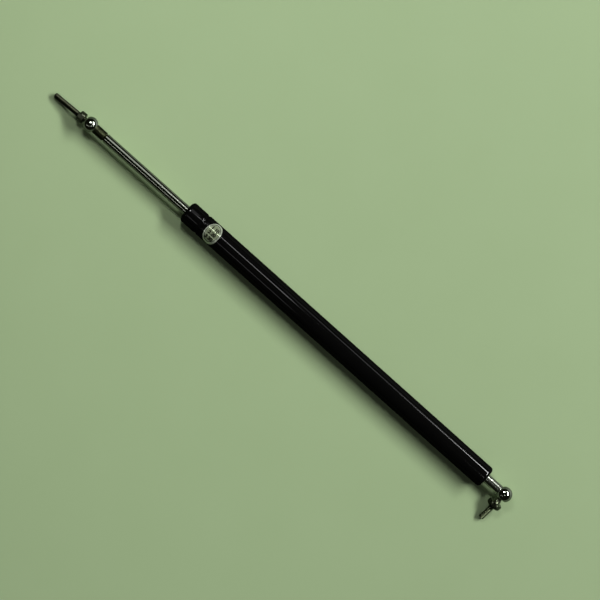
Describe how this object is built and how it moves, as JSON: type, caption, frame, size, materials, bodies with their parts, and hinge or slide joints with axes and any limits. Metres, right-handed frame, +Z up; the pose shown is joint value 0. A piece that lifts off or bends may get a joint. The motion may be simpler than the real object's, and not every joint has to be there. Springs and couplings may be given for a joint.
{
  "type": "gas spring",
  "caption": "Long black gas spring with a bright rod, a straight ball joint with a threaded stud on the rod and a right-angle one on the tube.",
  "frame": {"origin": "bottom centre of the bounding box of the spring lying on a flat surface with its rod fully out", "axes": "+X along the tube's axis from the base end towards the rod end; +Z up from the surface; the base joint's stud points to +Y"},
  "size_m": [0.6046, 0.0448, 0.0231],
  "materials": {
    "tube_paint": "high gloss black enamel",
    "label_foil": "silver foil sticker with a clear coat",
    "plug_steel": "turned steel",
    "seal_rubber": "nitrile rubber",
    "wiper_rubber": "nitrile rubber",
    "washer_steel": "stamped steel",
    "guide_bronze": "sintered bronze",
    "rod_chrome": "ground and hard-chromed",
    "piston_aluminium": "turned",
    "ring_plastic": "filled fluoropolymer",
    "nut_steel": "zinc-plated steel",
    "base_housing_chrome": "bright plating",
    "rod_housing_chrome": "bright plating, dull olive on the shank",
    "seat_steel": "hardened sintered steel",
    "liner_plastic": "acetal",
    "base_stud_zinc": "zinc-plated steel",
    "rod_stud_zinc": "zinc-plated steel"
  },
  "bodies": {
    "tube": {"pressure_tube": "tube_paint", "tube_label": "label_foil", "end_plug": "plug_steel", "plug_o_ring": "seal_rubber", "backup_washer": "washer_steel", "rod_seal": "seal_rubber", "guide_bush": "guide_bronze", "rod_wiper": "wiper_rubber", "base_joint_housing": "base_housing_chrome"},
    "piston_ring": {"piston_ring": "ring_plastic"},
    "rod": {"piston_rod": "rod_chrome", "stop_washer": "washer_steel", "piston": "piston_aluminium", "throttle_disc": "washer_steel", "piston_nut": "nut_steel", "rod_joint_housing": "rod_housing_chrome"},
    "base_seat": {"base_seat_cup": "seat_steel", "base_seat_ring": "seat_steel"},
    "base_liner": {"base_liner": "liner_plastic"},
    "base_stud": {"base_ball_stud": "base_stud_zinc"},
    "rod_seat": {"rod_seat_cup": "seat_steel", "rod_seat_ring": "seat_steel"},
    "rod_liner": {"rod_liner": "liner_plastic"},
    "rod_stud": {"rod_ball_stud": "rod_stud_zinc"}
  },
  "joints": [
    {"name": "rod_slide", "type": "slide", "parent": "tube", "child": "piston_ring", "axis": [1, 0, 0], "range_m": [-0.1, 0], "stiffness_N_per_m": 450, "springref_m": 0.3333},
    {"name": "rod_spin", "type": "hinge", "parent": "piston_ring", "child": "rod", "pos_m": [0, -0.01094, 0.0115], "axis": [1, 0, 0], "continuous": true},
    {"name": "base_seat_turn", "type": "hinge", "parent": "tube", "child": "base_seat", "pos_m": [-0.29429, -0.01094, 0.0115], "axis": [0, 1, 0], "continuous": true},
    {"name": "base_stud_tilt", "type": "hinge", "parent": "base_seat", "child": "base_liner", "pos_m": [-0.29429, -0.01094, 0.0115], "axis": [-0.9815, 0, -0.1915], "range_deg": [-33.31, 2.69]},
    {"name": "base_stud_spin", "type": "hinge", "parent": "base_liner", "child": "base_stud", "pos_m": [-0.29429, -0.01094, 0.0115], "axis": [0.0505, 0.9645, -0.2591], "continuous": true},
    {"name": "rod_seat_turn", "type": "hinge", "parent": "rod", "child": "rod_seat", "pos_m": [0.25571, -0.01094, 0.0115], "axis": [1, 0, 0], "continuous": true},
    {"name": "rod_stud_tilt", "type": "hinge", "parent": "rod_seat", "child": "rod_liner", "pos_m": [0.25571, -0.01094, 0.0115], "axis": [0, 0.9864, 0.1645], "range_deg": [-28.82, 7.18]},
    {"name": "rod_stud_spin", "type": "hinge", "parent": "rod_liner", "child": "rod_stud", "pos_m": [0.25571, -0.01094, 0.0115], "axis": [0.9822, 0.0309, -0.1851], "continuous": true}
  ]
}
